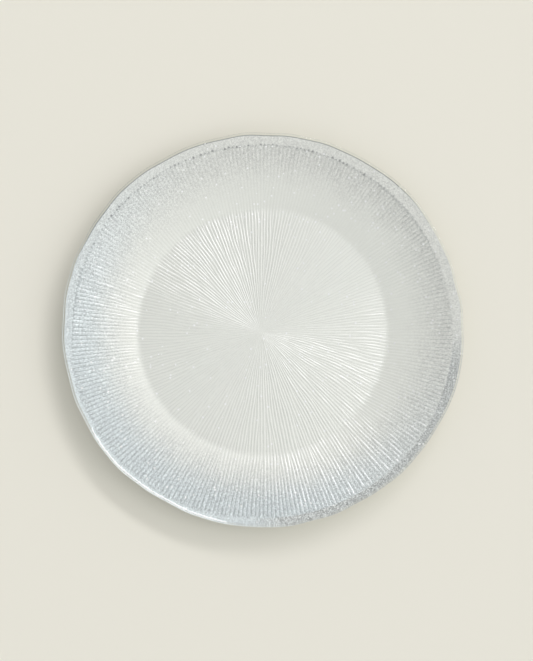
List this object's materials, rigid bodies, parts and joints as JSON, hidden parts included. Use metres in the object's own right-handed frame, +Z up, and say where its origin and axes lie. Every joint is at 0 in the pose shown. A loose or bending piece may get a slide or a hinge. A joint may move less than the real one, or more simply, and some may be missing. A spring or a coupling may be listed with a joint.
{
  "type": "charger plate",
  "caption": "Round glass charger plate with a flat well, sloped wing, fine radial ribs, a softly wavy rim and a pearl to silver lacquered back; it stands under a dinner plate.",
  "frame": {"origin": "middle of the flat base, on the surface that the plate stands on", "axes": "+Z up along the plate's axis, out of the well; X and Y across the plate, with +Y towards the top of the picture"},
  "size_m": [0.3294, 0.3298, 0.0212],
  "materials": {
    "clear_glass": "polished",
    "pearl_lacquer": "satin",
    "silver_lacquer": "satin",
    "clear_seal": "gloss"
  },
  "bodies": {
    "root": {"glass_plate": "clear_glass", "pearl_coat": "pearl_lacquer", "silver_coat": "silver_lacquer", "base_seal": "clear_seal"}
  },
  "joints": []
}
